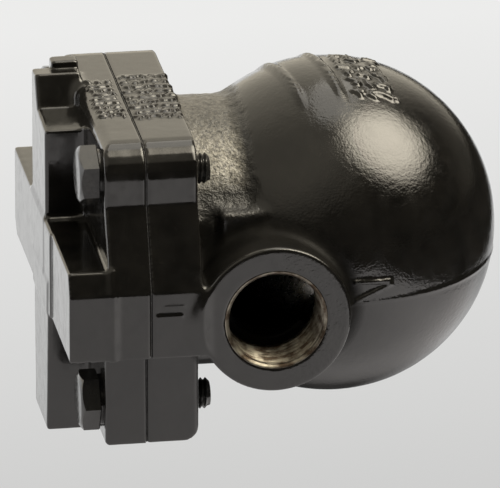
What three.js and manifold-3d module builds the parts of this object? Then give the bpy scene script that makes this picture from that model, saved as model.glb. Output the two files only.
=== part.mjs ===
// Ball float steam trap with screwed ports, in millimetres, +Z up.
// The origin is the middle of the pipe axis: Y runs from the inlet (-) to the outlet (+),
// and X runs from the bolted cover (-) to the round float chamber (+).
import * as THREE from 'three';
import { mergeVertices } from 'three/addons/utils/BufferGeometryUtils.js';
import Module from 'manifold-3d';

const wasm = await Module();
wasm.setup();

// Chamber and neck.
const BALL_X = 26;
const CHAMBER_Z = 9;
const BALL_RADIUS = 53.5;
const BALL_WALL = 5;
const NECK_RADIUS = 43;
const NECK_WALL = 5;

// Shoulders on the neck, above the ports.
const SHOULDER_X = [-15, 0];
const SHOULDER_Y = 43;
const SHOULDER_TOP_Z = 30;

// Pipe ports, for a one-inch pipe thread.
const PORT_FACE_Y = 60.5;
const PORT_RADIUS = 24;
const BORE_RADIUS = 15.2;
const BORE_CHAMFER = 1.8;
const BORE_END_Y = 43.5;
const INLET_PASSAGE_RADIUS = 12;
const PARTITION_RADIUS = 19.2;
const PARTITION_INNER_Y = 39.5;
const PARTITION_OUTER_Y = 55.5;
const INLET_PASSAGE_END_Y = -23.5;

// Bolted flange: a square plate with an ear at pipe level on each side.
const FLANGE_Z = 6;
const FLANGE_HALF = 49.5;
const FLANGE_TOP_CORNER = 10;
const FLANGE_BOTTOM_CORNER = 2.5;
const EAR_HALF = 60;
const EAR_HALF_HEIGHT = 11;
const EAR_SLOPE_TOP = 36.5;
const BODY_FACE_X = -39;
const BODY_FLANGE_BACK_X = -23;
const GASKET_THICKNESS = 0.7;
const GAP = 0.15;
const COVER_FACE_X = BODY_FACE_X - GASKET_THICKNESS - 2 * GAP;
const COVER_FLANGE_OUTER_X = -52.8;
const GASKET_INSET = 0.8;

// Raised arms on the cover, cast around the condensate passages.
const ARM_OUTER_X = -66.2;
const ARM_STEP = 0.6;
const CROSS_ARM_TOP = 18;
const CROSS_ARM_CORNER = 4.5;
const HUB_NEAR_Y = -20.5;
const UPPER_ARM_NEAR_Y = -7;
const UPPER_ARM_FAR_Y = 23;
const UPPER_ARM_TOP_Z = 58;
const UPPER_ARM_CREST = [15.5, 58.5];
const UPPER_ARM_SLOPE_END = [10.5, 48.8];
const UPPER_ARM_LEDGE_Z = 47.5;
const UPPER_PAD_X = -59.5;
const UPPER_PAD_Y = [21, 27];
const UPPER_PAD_Z = [40, 60.5];
const LOWER_ARM_BOTTOM_Z = -52;
const LOWER_ARM_NEAR_Y = -12;
const LOWER_ARM_FAR_Y = 14;
const LOWER_ARM_NEAR_ROOT_Y = -17;
const LOWER_ARM_FAR_ROOT_Y = 16;

// Condensate passages.
const DUCT_RADIUS = 6;
const DUCT_Y = 51;
const DUCT_X = -57;
const DUCT_BOSS_RADIUS = 9;
const DUCT_BOSS_Y = 49.5;
const CROSS_DUCT_END_Y = -2;
const VENT_DUCT_RADIUS = 4;

// Cover bolts, M10.
const BOLT_PITCH_HALF = 38;
const BOLT_RADIUS = 5;
const BOLT_HEAD_FLATS = 17;
const BOLT_HEAD_HEIGHT = 6.4;
const BOLT_COLLAR_HEIGHT = 0.8;
const BOLT_COLLAR_RADIUS = 8;
const BOLT_END_X = -18;
const FAR_BOLT_END_X = -21.5;
const BOLT_HOLE_RADIUS = 5.5;

// Main valve seat, screwed into the cover.
const SEAT_Z = 2;
const SEAT_FACE_X = -34.5;
const SEAT_HEX_FLATS = 16;
const SEAT_HEX_BACK_X = -38.9;
const SEAT_SHANK_RADIUS = 6;
const SEAT_SHANK_END_X = -52;
const SEAT_HEX_FRONT_X = -35.5;
const SEAT_LIP_RADIUS = 5;
const SEAT_BORE_RADIUS = 4;
const SEAT_ORIFICE_RADIUS = 2.5;
const SEAT_ORIFICE_BACK_X = -40.9;
const SEAT_GASKET_RADIUS = 8.2;

// Float lever, in its resting pose: float down and valve shut.
const PIVOT_X = -30;
const PIVOT_Z = 14;
const PIN_RADIUS = 2;
const PIN_HALF_LENGTH = 13.5;
const RUNNING_GAP = 0.3;
const FLOAT_X = 27;
const FLOAT_Z = -5;
const FLOAT_RADIUS = 30;
const FLOAT_WALL = 1.2;
const STUB_RADIUS = 4.5;
const STUB_END_X = -8.7;
const TAB_BACK_X = -11.5;
const TAB_FRONT_X = -9;
const LEVER_HALF_WIDTH = 7;
const LEVER_PLATE = 2;
const LEVER_NOSE = 3.5;
const LEVER_NOSE_TOP = 3;
const LEVER_CREST = 4.5;
const LEVER_JAW_Z = 7;
const LEVER_FOOT_Z = -2;
const LEVER_WEB_TOP_Z = 16;
const ARM_STRIP = 2.5;
const ARM_HALF_WIDTH = 6;
const TAB_BOTTOM_Z = -11;
const FLOAT_SCREW_FLATS = 7;
const FLOAT_SCREW_HEAD = 3;
const FLOAT_SCREW_END_X = -4.5;
const WASHER = 1;
const FLOAT_WASHER_RADIUS = 4;
const WEB_BACK_X = -26.5;
const VALVE_BALL_RADIUS = 4;
const HEAD_STEM_RADIUS = 2;
const HEAD_COLLAR_RADIUS = 3.4;
const HEAD_COLLAR = 1;
const HEAD_GROOVE_RADIUS = 1.3;
const HEAD_GROOVE = 1.2;
const HEAD_TIP = 1;
const HEAD_CLIP_INNER = 1.6;
const CLIP_RADIUS = 4;
const HEAD_CLIP = 0.8;

// Pivot frame, screwed to the cover.
const FRAME_BACK_X = COVER_FACE_X + GAP;
const FRAME_PLATE = 2;
const FRAME_HALF_WIDTH = 24;
const FRAME_CHEEK_INNER_Y = 9;
const FRAME_SCREW_Y = 18;
const FRAME_BOTTOM_Z = -13;
const FRAME_TOP_Z = 23;
const FRAME_CHEEK_FRONT_X = -25;
const FRAME_CHEEK_BOTTOM_Z = 9;
const FRAME_CHEEK_TOP_Z = 20;
const FRAME_SEAT_HOLE_RADIUS = 9.8;
const FRAME_SCREW_RADIUS = 2.2;
const FRAME_SCREW_CLEARANCE = 0.4;
const FRAME_SCREW_FLATS = 8;
const FRAME_SCREW_HEAD = 3.5;
const FRAME_SCREW_END_X = -49.5;
const FRAME_SCREW_HOLE_END_X = -50;
const FRAME_WASHER_RADIUS = 4.6;
const PIN_GROOVE_Y = [11.6, 12.7];
const PIN_CLIP_Y = [11.8, 12.5];
const PIN_GROOVE_DEPTH = 0.6;
const PIN_CLIP_MOUTH = 1.2;

// Thermostatic air vent, at the top of the cover.
const VENT_Y = 7;
const VENT_Z = 34;
const VENT_SEAT_SHANK_RADIUS = 5;
const VENT_SEAT_END_X = -50;
const VENT_SEAT_FLATS = 13;
const VENT_SEAT_HEX = 3;
const VENT_SEAT_LIP_RADIUS = 3.5;
const VENT_SEAT_BORE_RADIUS = 3;
const VENT_ORIFICE_RADIUS = 1.8;
const VENT_GASKET_RADIUS = 7.5;
const VENT_FACE_X = -34.4;
const VENT_CLIP_BACK_X = -38.9;
const VENT_CLIP_PLATE = 0.8;
const VENT_CLIP_HALF = 11;
const VENT_CLIP_HALF_HEIGHT = 4;
const CAPSULE_RADIUS = 9;
const CAPSULE_BACK_X = -20.2;
const CAPSULE_FRONT_X = -29.6;
const CAPSULE_BOSS_RADIUS = 4;
const CAPSULE_DISH_RADIUS = 5;
const CAPSULE_SHOULDER_RADIUS = 8;
const CAPSULE_DISH = 2.7;
const CAPSULE_SHOULDER = 1.7;
const CAPSULE_RIM = 0.6;
const VENT_VALVE_LIFT = 1.3;
const VENT_VALVE_RADIUS = 3;
const VENT_VALVE_THICKNESS = 1.4;
const VENT_STEM_RADIUS = 1.6;

// How far a cut runs past the face that it opens, and how far joined solids run into each other.
const OVER = 1;
const LAP = 1;
const CAST_LAP = 4;

// Facets around curved pieces.
const BODY_ROUND = 40;
const BALL_STEPS = 24;
const HOLLOW_ROUND = 28;
const HOLLOW_STEPS = 16;
const ROUND = 32;
const SMALL_ROUND = 16;
const FLOAT_SIDES = 24;
const FLOAT_STEPS = 8;

// --- Turning three.js geometry into solids and back. ---

function solid(geometry) {
  const bare = geometry.clone();
  bare.deleteAttribute('normal');
  bare.deleteAttribute('uv');
  const merged = mergeVertices(bare, 1e-4);
  return new wasm.Manifold(new wasm.Mesh({
    numProp: 3,
    vertProperties: new Float32Array(merged.attributes.position.array),
    triVerts: new Uint32Array(merged.index.array),
  }));
}

function geometryOf(manifold) {
  const mesh = manifold.getMesh();
  const geometry = new THREE.BufferGeometry();
  geometry.setAttribute('position', new THREE.BufferAttribute(mesh.vertProperties, 3));
  geometry.setIndex(new THREE.BufferAttribute(mesh.triVerts, 1));
  geometry.computeVertexNormals();
  return geometry;
}

function joined(first, ...others) {
  return others.reduce((whole, next) => whole.add(next), first);
}

function cut(first, ...others) {
  return others.reduce((rest, next) => rest.subtract(next), first);
}

// --- Basic solids, placed by their extents in the part's frame. ---

function cylinderX(radius, fromX, toX, y, z, sides = ROUND, endRadius = radius) {
  const geometry = new THREE.CylinderGeometry(endRadius, radius, toX - fromX, sides);
  geometry.rotateZ(-Math.PI / 2);
  geometry.translate((fromX + toX) / 2, y, z);
  return solid(geometry);
}

function cylinderY(radius, x, fromY, toY, z, sides = ROUND, endRadius = radius) {
  const geometry = new THREE.CylinderGeometry(endRadius, radius, toY - fromY, sides);
  geometry.translate(x, (fromY + toY) / 2, z);
  return solid(geometry);
}

function cylinderZ(radius, x, y, fromZ, toZ, sides = ROUND) {
  const geometry = new THREE.CylinderGeometry(radius, radius, toZ - fromZ, sides);
  geometry.rotateX(Math.PI / 2);
  geometry.translate(x, y, (fromZ + toZ) / 2);
  return solid(geometry);
}

function box(fromX, toX, fromY, toY, fromZ, toZ) {
  const geometry = new THREE.BoxGeometry(toX - fromX, toY - fromY, toZ - fromZ);
  geometry.translate((fromX + toX) / 2, (fromY + toY) / 2, (fromZ + toZ) / 2);
  return solid(geometry);
}

function sphere(radius, x, y, z, across, down) {
  const geometry = new THREE.SphereGeometry(radius, across, down);
  geometry.translate(x, y, z);
  return solid(geometry);
}

// A hexagon bar along X; turn 0 puts flats on the two sides and corners at top and bottom.
function hexX(flats, fromX, toX, y, z, turn = 0) {
  const radius = flats / Math.sqrt(3);
  const geometry = new THREE.CylinderGeometry(radius, radius, toX - fromX, 6);
  geometry.rotateY(turn);
  geometry.rotateZ(-Math.PI / 2);
  geometry.rotateX(Math.PI / 2);
  geometry.translate((fromX + toX) / 2, y, z);
  return solid(geometry);
}

// A flat outline in Y and Z, made into a plate between two X planes.
function plateX(shape, fromX, toX) {
  const geometry = new THREE.ExtrudeGeometry(shape, {
    depth: toX - fromX,
    bevelEnabled: false,
    curveSegments: 6,
  });
  const basis = new THREE.Matrix4().makeBasis(
    new THREE.Vector3(0, 1, 0),
    new THREE.Vector3(0, 0, 1),
    new THREE.Vector3(1, 0, 0),
  );
  geometry.applyMatrix4(basis);
  geometry.translate(fromX, 0, 0);
  return solid(geometry);
}

// A flat outline in X and Z, made into a plate between two Y planes.
function plateY(shape, fromY, toY) {
  const geometry = new THREE.ExtrudeGeometry(shape, { depth: toY - fromY, bevelEnabled: false });
  geometry.rotateX(Math.PI / 2);
  geometry.translate(0, toY, 0);
  return solid(geometry);
}

function polygon(corners) {
  return new THREE.Shape(corners.map(([u, v]) => new THREE.Vector2(u, v)));
}

// A turned piece about an X axis, from a closed profile of [x, radius] points.
function turnedX(profile, y, z, sides = ROUND) {
  const points = profile.map(([x, radius]) => new THREE.Vector2(radius, x));
  const geometry = new THREE.LatheGeometry(points, sides);
  geometry.rotateZ(-Math.PI / 2);
  geometry.translate(0, y, z);
  return solid(geometry);
}

// An arc of [x, radius] points on a circle about a centre on the axis, by angle from +X.
function arcProfile(centreX, radius, fromAngle, toAngle, steps) {
  return Array.from({ length: steps + 1 }, (_, i) => {
    const angle = fromAngle + (toAngle - fromAngle) * i / steps;
    const height = Math.abs(Math.sin(angle)) < 1e-9 ? 0 : radius * Math.sin(angle);
    return [centreX + radius * Math.cos(angle), height];
  });
}

// --- Outlines shared by the body, the gasket and the cover. ---

function flangeOutline(inset = 0) {
  const side = FLANGE_HALF - inset;
  const ear = EAR_HALF - inset;
  const bottom = FLANGE_Z - FLANGE_HALF + inset;
  const top = FLANGE_Z + FLANGE_HALF - inset;
  const shape = new THREE.Shape();
  shape.moveTo(FLANGE_BOTTOM_CORNER - side, bottom);
  shape.lineTo(side - FLANGE_BOTTOM_CORNER, bottom);
  shape.quadraticCurveTo(side, bottom, side, bottom + FLANGE_BOTTOM_CORNER);
  shape.lineTo(side, inset - EAR_HALF_HEIGHT);
  shape.lineTo(ear, inset - EAR_HALF_HEIGHT);
  shape.lineTo(ear, EAR_HALF_HEIGHT);
  shape.lineTo(side, EAR_SLOPE_TOP);
  shape.lineTo(side, top - FLANGE_TOP_CORNER);
  shape.absarc(side - FLANGE_TOP_CORNER, top - FLANGE_TOP_CORNER, FLANGE_TOP_CORNER, 0, Math.PI / 2);
  shape.absarc(FLANGE_TOP_CORNER - side, top - FLANGE_TOP_CORNER, FLANGE_TOP_CORNER, Math.PI / 2, Math.PI);
  shape.lineTo(-side, EAR_SLOPE_TOP);
  shape.lineTo(-ear, EAR_HALF_HEIGHT);
  shape.lineTo(-ear, inset - EAR_HALF_HEIGHT);
  shape.lineTo(-side, inset - EAR_HALF_HEIGHT);
  shape.lineTo(-side, bottom + FLANGE_BOTTOM_CORNER);
  shape.quadraticCurveTo(-side, bottom, FLANGE_BOTTOM_CORNER - side, bottom);
  return shape;
}

function boltPlaces() {
  const places = [];
  for (const up of [1, -1]) {
    for (const side of [-1, 1]) {
      places.push([side * BOLT_PITCH_HALF, FLANGE_Z + up * BOLT_PITCH_HALF]);
    }
  }
  return places;
}

function boltHoles(fromX, toX) {
  return boltPlaces().map(([y, z]) => cylinderX(BOLT_HOLE_RADIUS, fromX, toX, y, z, SMALL_ROUND));
}

// --- Cast body. ---

function portBore(side, endY) {
  const face = side * PORT_FACE_Y;
  const [low, high] = side < 0 ? [face - OVER, -endY] : [endY, face + OVER];
  const bore = cylinderY(BORE_RADIUS, 0, low, high, 0);
  const wide = BORE_RADIUS + BORE_CHAMFER + OVER;
  const mouthIn = face - side * BORE_CHAMFER;
  const mouth = side < 0
    ? cylinderY(wide, 0, face - OVER, mouthIn, 0, ROUND, BORE_RADIUS)
    : cylinderY(BORE_RADIUS, 0, mouthIn, face + OVER, 0, ROUND, wide);
  return bore.add(mouth);
}

function bodyCasting() {
  const ball = sphere(BALL_RADIUS, BALL_X, 0, CHAMBER_Z, BODY_ROUND, BALL_STEPS);
  const rootX = BODY_FLANGE_BACK_X - CAST_LAP;
  const neck = cylinderX(NECK_RADIUS, rootX, BALL_X, 0, CHAMBER_Z, BODY_ROUND);
  const flange = plateX(flangeOutline(), BODY_FACE_X, BODY_FLANGE_BACK_X);
  const ports = cylinderY(PORT_RADIUS, 0, -PORT_FACE_Y, PORT_FACE_Y, 0, BODY_ROUND);
  const ductBosses = [-DUCT_BOSS_Y, DUCT_BOSS_Y].map(
    (y) => cylinderX(DUCT_BOSS_RADIUS, rootX, 0, y, 0, SMALL_ROUND),
  );
  const shoulders = box(...SHOULDER_X, -SHOULDER_Y, SHOULDER_Y, 0, SHOULDER_TOP_Z);
  return joined(ball, neck, flange, ports, shoulders, ...ductBosses);
}

function body() {
  const chamber = joined(
    sphere(BALL_RADIUS - BALL_WALL, BALL_X, 0, CHAMBER_Z, HOLLOW_ROUND, HOLLOW_STEPS),
    cylinderX(NECK_RADIUS - NECK_WALL, BODY_FACE_X - OVER, BALL_X, 0, CHAMBER_Z),
  );
  const partition = cylinderY(PARTITION_RADIUS, 0, PARTITION_INNER_Y, PARTITION_OUTER_Y, 0);
  const inletPassage = cylinderY(INLET_PASSAGE_RADIUS, 0, -BORE_END_Y - OVER, INLET_PASSAGE_END_Y, 0);
  const duct = cylinderX(DUCT_RADIUS, BODY_FACE_X - OVER, 0, DUCT_Y, 0, SMALL_ROUND);
  return cut(
    cut(bodyCasting(), chamber).add(partition),
    portBore(-1, BORE_END_Y),
    portBore(1, BORE_END_Y),
    inletPassage,
    duct,
    ...boltHoles(BODY_FACE_X - OVER, BODY_FLANGE_BACK_X + OVER),
  );
}

// --- Cover. ---

function crossArm(fromX, toX) {
  const slope = (EAR_HALF - FLANGE_HALF) / (EAR_SLOPE_TOP - EAR_HALF_HEIGHT);
  const nearTop = EAR_HALF - slope * (CROSS_ARM_TOP - EAR_HALF_HEIGHT);
  return plateX(polygon([
    [-EAR_HALF, -EAR_HALF_HEIGHT],
    [EAR_HALF - CROSS_ARM_CORNER, -EAR_HALF_HEIGHT],
    [EAR_HALF, CROSS_ARM_CORNER - EAR_HALF_HEIGHT],
    [EAR_HALF, CROSS_ARM_TOP],
    [-nearTop, CROSS_ARM_TOP],
    [-EAR_HALF, EAR_HALF_HEIGHT],
  ]), fromX, toX);
}

// The upper arm's top falls away toward the inlet side, down to a small ledge.
function upperArm(fromX, toX) {
  return plateX(polygon([
    [UPPER_ARM_NEAR_Y, 0],
    [UPPER_ARM_FAR_Y, 0],
    [UPPER_ARM_FAR_Y, UPPER_ARM_TOP_Z],
    UPPER_ARM_CREST,
    UPPER_ARM_SLOPE_END,
    [UPPER_ARM_NEAR_Y, UPPER_ARM_LEDGE_Z],
  ]), fromX, toX);
}

function lowerArm(fromX, toX) {
  return plateX(polygon([
    [LOWER_ARM_NEAR_Y, LOWER_ARM_BOTTOM_Z],
    [LOWER_ARM_FAR_Y, LOWER_ARM_BOTTOM_Z],
    [LOWER_ARM_FAR_ROOT_Y, 0],
    [LOWER_ARM_NEAR_ROOT_Y, 0],
  ]), fromX, toX);
}

function coverCasting() {
  const root = COVER_FLANGE_OUTER_X + LAP;
  const stepBack = box(
    ARM_OUTER_X - OVER, ARM_OUTER_X + ARM_STEP, -EAR_HALF - OVER, HUB_NEAR_Y,
    -EAR_HALF_HEIGHT - OVER, CROSS_ARM_TOP + OVER,
  );
  return joined(
    plateX(flangeOutline(), COVER_FLANGE_OUTER_X, COVER_FACE_X),
    cut(crossArm(ARM_OUTER_X, root), stepBack),
    upperArm(ARM_OUTER_X + ARM_STEP, root),
    lowerArm(ARM_OUTER_X, root),
    box(UPPER_PAD_X, root, ...UPPER_PAD_Y, ...UPPER_PAD_Z),
  );
}

function coverPassages() {
  const open = COVER_FACE_X + OVER;
  return [
    cylinderX(DUCT_RADIUS, DUCT_X, open, DUCT_Y, 0, SMALL_ROUND),
    cylinderY(DUCT_RADIUS, DUCT_X, CROSS_DUCT_END_Y, DUCT_Y, SEAT_Z, SMALL_ROUND),
    cylinderX(SEAT_SHANK_RADIUS + RUNNING_GAP, DUCT_X, open, 0, SEAT_Z, SMALL_ROUND),
    cylinderZ(VENT_DUCT_RADIUS, DUCT_X, VENT_Y, SEAT_Z, VENT_Z, SMALL_ROUND),
    cylinderX(VENT_SEAT_SHANK_RADIUS + RUNNING_GAP, DUCT_X, open, VENT_Y, VENT_Z, SMALL_ROUND),
  ];
}

function cover() {
  const open = COVER_FACE_X + OVER;
  const hole = FRAME_SCREW_RADIUS + RUNNING_GAP;
  const screwHoles = [-FRAME_SCREW_Y, FRAME_SCREW_Y].map(
    (y) => cylinderX(hole, FRAME_SCREW_HOLE_END_X, open, y, PIVOT_Z, SMALL_ROUND),
  );
  return cut(
    coverCasting(),
    ...coverPassages(),
    ...screwHoles,
    ...boltHoles(COVER_FLANGE_OUTER_X - OVER, open),
  );
}

function coverGasket() {
  const back = COVER_FACE_X + GAP;
  const front = BODY_FACE_X - GAP;
  return cut(
    plateX(flangeOutline(GASKET_INSET), back, front),
    cylinderX(NECK_RADIUS - NECK_WALL, back - OVER, front + OVER, 0, CHAMBER_Z),
    cylinderX(DUCT_RADIUS, back - OVER, front + OVER, DUCT_Y, 0, SMALL_ROUND),
    ...boltHoles(back - OVER, front + OVER),
  );
}

function coverBolt(y, z, turn) {
  const endX = y > 0 ? FAR_BOLT_END_X : BOLT_END_X;
  const underHead = COVER_FLANGE_OUTER_X - GAP;
  const collarEnd = underHead - BOLT_COLLAR_HEIGHT;
  return joined(
    hexX(BOLT_HEAD_FLATS, collarEnd - BOLT_HEAD_HEIGHT, collarEnd, y, z, turn),
    cylinderX(BOLT_COLLAR_RADIUS, collarEnd - LAP, underHead, y, z, SMALL_ROUND),
    cylinderX(BOLT_RADIUS, underHead - LAP, endX, y, z, SMALL_ROUND),
  );
}

// --- Main valve. ---

function valveSeat() {
  const outside = joined(
    hexX(SEAT_HEX_FLATS, SEAT_HEX_BACK_X, SEAT_HEX_FRONT_X, 0, SEAT_Z),
    cylinderX(SEAT_LIP_RADIUS, SEAT_HEX_FRONT_X - LAP, SEAT_FACE_X, 0, SEAT_Z, SMALL_ROUND),
    cylinderX(SEAT_SHANK_RADIUS, SEAT_SHANK_END_X, SEAT_HEX_BACK_X + LAP, 0, SEAT_Z, SMALL_ROUND),
  );
  return cut(
    outside,
    cylinderX(SEAT_BORE_RADIUS, SEAT_SHANK_END_X - OVER, SEAT_HEX_BACK_X, 0, SEAT_Z, SMALL_ROUND),
    cylinderX(SEAT_ORIFICE_RADIUS, SEAT_ORIFICE_BACK_X, SEAT_FACE_X + OVER, 0, SEAT_Z, SMALL_ROUND),
  );
}

function ringX(inner, outer, fromX, toX, y, z) {
  return cut(
    cylinderX(outer, fromX, toX, y, z, SMALL_ROUND),
    cylinderX(inner, fromX - OVER, toX + OVER, y, z, SMALL_ROUND),
  );
}

// A spring clip around a shaft along X, open below.
function clipX(inner, outer, fromX, toX, z) {
  const half = inner * Math.SQRT1_2;
  const mouth = box(fromX - OVER, toX + OVER, -half, half, z - outer - OVER, z);
  return cut(ringX(inner, outer, fromX, toX, 0, z), mouth);
}

function valveHead() {
  const centre = SEAT_FACE_X + RUNNING_GAP
    + Math.sqrt(VALVE_BALL_RADIUS ** 2 - SEAT_ORIFICE_RADIUS ** 2);
  const collar = WEB_BACK_X - RUNNING_GAP;
  const clipBack = WEB_BACK_X + LEVER_PLATE + GAP;
  const clipFront = clipBack + HEAD_GROOVE;
  return turnedX([
    ...arcProfile(centre, VALVE_BALL_RADIUS, Math.PI, Math.PI * 0.3, 6),
    [collar - HEAD_COLLAR, HEAD_STEM_RADIUS],
    [collar - HEAD_COLLAR, HEAD_COLLAR_RADIUS],
    [collar, HEAD_COLLAR_RADIUS],
    [collar, HEAD_STEM_RADIUS],
    [clipBack, HEAD_STEM_RADIUS],
    [clipBack, HEAD_GROOVE_RADIUS],
    [clipFront, HEAD_GROOVE_RADIUS],
    [clipFront, HEAD_STEM_RADIUS],
    [clipFront + HEAD_TIP, HEAD_STEM_RADIUS],
    [clipFront + HEAD_TIP, 0],
  ], 0, SEAT_Z, SMALL_ROUND);
}

function valveHeadClip() {
  const back = WEB_BACK_X + LEVER_PLATE + RUNNING_GAP;
  return clipX(HEAD_CLIP_INNER, CLIP_RADIUS, back, back + HEAD_CLIP, SEAT_Z);
}

// --- Float lever. ---

function leverCheek(fromY) {
  const plate = plateY(polygon([
    [PIVOT_X - LEVER_NOSE, PIVOT_Z - LEVER_NOSE],
    [WEB_BACK_X, LEVER_JAW_Z],
    [WEB_BACK_X, LEVER_FOOT_Z],
    [WEB_BACK_X + LEVER_PLATE, LEVER_FOOT_Z],
    [WEB_BACK_X + LEVER_PLATE, PIVOT_Z + LEVER_NOSE_TOP],
    [PIVOT_X, PIVOT_Z + LEVER_CREST],
    [PIVOT_X - LEVER_NOSE, PIVOT_Z + LEVER_NOSE_TOP],
  ]), fromY, fromY + LEVER_PLATE);
  const toY = fromY + LEVER_PLATE;
  return plate.subtract(cylinderY(
    PIN_RADIUS + RUNNING_GAP, PIVOT_X, fromY - OVER, toY + OVER, PIVOT_Z, SMALL_ROUND,
  ));
}

function floatArm() {
  const webFront = WEB_BACK_X + LEVER_PLATE;
  const strip = plateY(polygon([
    [webFront - LAP, PIVOT_Z - ARM_STRIP],
    [TAB_BACK_X, PIVOT_Z - ARM_STRIP],
    [TAB_BACK_X, TAB_BOTTOM_Z],
    [TAB_FRONT_X, TAB_BOTTOM_Z],
    [TAB_FRONT_X, PIVOT_Z],
    [webFront - LAP, PIVOT_Z],
  ]), -ARM_HALF_WIDTH, ARM_HALF_WIDTH);
  const web = box(
    WEB_BACK_X, webFront, -LEVER_HALF_WIDTH, LEVER_HALF_WIDTH, LEVER_FOOT_Z, LEVER_WEB_TOP_Z,
  );
  const floatHole = cylinderX(
    PIN_RADIUS + RUNNING_GAP, TAB_BACK_X - OVER, TAB_FRONT_X + OVER, 0, FLOAT_Z, SMALL_ROUND,
  );
  const headHole = cylinderX(
    PIN_RADIUS + RUNNING_GAP, WEB_BACK_X - OVER, webFront + OVER, 0, SEAT_Z, SMALL_ROUND,
  );
  return cut(
    joined(strip, web, leverCheek(-LEVER_HALF_WIDTH), leverCheek(LEVER_HALF_WIDTH - LEVER_PLATE)),
    floatHole,
    headHole,
  );
}

// The half of the float that carries the threaded stub.
function floatArmHalf() {
  const seam = Math.PI / 2 + GAP / FLOAT_RADIUS;
  const stubAngle = Math.PI - Math.asin(STUB_RADIUS / FLOAT_RADIUS);
  return turnedX([
    [STUB_END_X, PIN_RADIUS + RUNNING_GAP],
    [STUB_END_X, STUB_RADIUS],
    ...arcProfile(FLOAT_X, FLOAT_RADIUS, stubAngle, seam, FLOAT_STEPS),
    ...arcProfile(FLOAT_X, FLOAT_RADIUS - FLOAT_WALL, seam, Math.PI, FLOAT_STEPS),
    [FLOAT_X - FLOAT_RADIUS, 0],
    [FLOAT_X - FLOAT_RADIUS, PIN_RADIUS + RUNNING_GAP],
    [STUB_END_X, PIN_RADIUS + RUNNING_GAP],
  ], 0, FLOAT_Z, FLOAT_SIDES);
}

function floatFarHalf() {
  const seam = Math.PI / 2 - GAP / FLOAT_RADIUS;
  return turnedX([
    ...arcProfile(FLOAT_X, FLOAT_RADIUS - FLOAT_WALL, 0, seam, FLOAT_STEPS),
    ...arcProfile(FLOAT_X, FLOAT_RADIUS, seam, 0, FLOAT_STEPS),
  ], 0, FLOAT_Z, FLOAT_SIDES);
}

function floatScrew() {
  const underHead = TAB_BACK_X - RUNNING_GAP - WASHER - GAP;
  return joined(
    hexX(FLOAT_SCREW_FLATS, underHead - FLOAT_SCREW_HEAD, underHead, 0, FLOAT_Z),
    cylinderX(PIN_RADIUS, underHead - LAP, FLOAT_SCREW_END_X, 0, FLOAT_Z, SMALL_ROUND),
  );
}

function floatWasher() {
  const front = TAB_BACK_X - RUNNING_GAP;
  return ringX(PIN_RADIUS + RUNNING_GAP, FLOAT_WASHER_RADIUS, front - WASHER, front, 0, FLOAT_Z);
}

// --- Pivot frame. ---

function pivotFrame() {
  const front = FRAME_BACK_X + FRAME_PLATE;
  const plate = box(
    FRAME_BACK_X, front, -FRAME_HALF_WIDTH, FRAME_HALF_WIDTH, FRAME_BOTTOM_Z, FRAME_TOP_Z,
  );
  const outerY = FRAME_CHEEK_INNER_Y + FRAME_PLATE;
  const screwHole = FRAME_SCREW_RADIUS + FRAME_SCREW_CLEARANCE;
  const cheeks = [-outerY, FRAME_CHEEK_INNER_Y].map((y) => box(
    front - LAP, FRAME_CHEEK_FRONT_X, y, y + FRAME_PLATE, FRAME_CHEEK_BOTTOM_Z, FRAME_CHEEK_TOP_Z,
  ));
  const screwHoles = [-FRAME_SCREW_Y, FRAME_SCREW_Y].map(
    (y) => cylinderX(screwHole, FRAME_BACK_X - OVER, front + OVER, y, PIVOT_Z, SMALL_ROUND),
  );
  return cut(
    joined(plate, ...cheeks),
    cylinderX(FRAME_SEAT_HOLE_RADIUS, FRAME_BACK_X - OVER, front + OVER, 0, SEAT_Z, SMALL_ROUND),
    cylinderY(PIN_RADIUS + RUNNING_GAP, PIVOT_X, -outerY - OVER, outerY + OVER, PIVOT_Z, SMALL_ROUND),
    ...screwHoles,
  );
}

function frameWasher(y) {
  const back = FRAME_BACK_X + FRAME_PLATE + GAP;
  const hole = FRAME_SCREW_RADIUS + FRAME_SCREW_CLEARANCE;
  return ringX(hole, FRAME_WASHER_RADIUS, back, back + WASHER, y, PIVOT_Z);
}

function frameScrew(y) {
  const underHead = FRAME_BACK_X + FRAME_PLATE + WASHER + 2 * GAP;
  const headEnd = underHead + FRAME_SCREW_HEAD;
  return joined(
    hexX(FRAME_SCREW_FLATS, underHead, headEnd, y, PIVOT_Z, Math.PI / 6),
    cylinderX(FRAME_SCREW_RADIUS, FRAME_SCREW_END_X, underHead + LAP, y, PIVOT_Z, SMALL_ROUND),
  );
}

// A [low, high] pair of distances from the middle, moved to one side of it.
function onSide(side, [near, far]) {
  return side < 0 ? [-far, -near] : [near, far];
}

function pinClipY(side) {
  const [low, high] = onSide(side, PIN_CLIP_Y);
  const back = PIVOT_X - PIN_CLIP_MOUTH;
  const front = PIVOT_X + PIN_CLIP_MOUTH;
  return cut(
    cylinderY(CLIP_RADIUS, PIVOT_X, low, high, PIVOT_Z, SMALL_ROUND),
    cylinderY(PIN_RADIUS - RUNNING_GAP, PIVOT_X, low - OVER, high + OVER, PIVOT_Z, SMALL_ROUND),
    box(back, front, low - OVER, high + OVER, PIVOT_Z - CLIP_RADIUS - OVER, PIVOT_Z),
  );
}

function pinGroove(side) {
  const [low, high] = onSide(side, PIN_GROOVE_Y);
  const bottom = PIN_RADIUS - PIN_GROOVE_DEPTH;
  return cut(
    cylinderY(PIN_RADIUS + OVER, PIVOT_X, low, high, PIVOT_Z, SMALL_ROUND),
    cylinderY(bottom, PIVOT_X, low - OVER, high + OVER, PIVOT_Z, SMALL_ROUND),
  );
}

function pivotPin() {
  return cut(
    cylinderY(PIN_RADIUS, PIVOT_X, -PIN_HALF_LENGTH, PIN_HALF_LENGTH, PIVOT_Z, SMALL_ROUND),
    pinGroove(-1),
    pinGroove(1),
  );
}

// --- Air vent. ---

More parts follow.
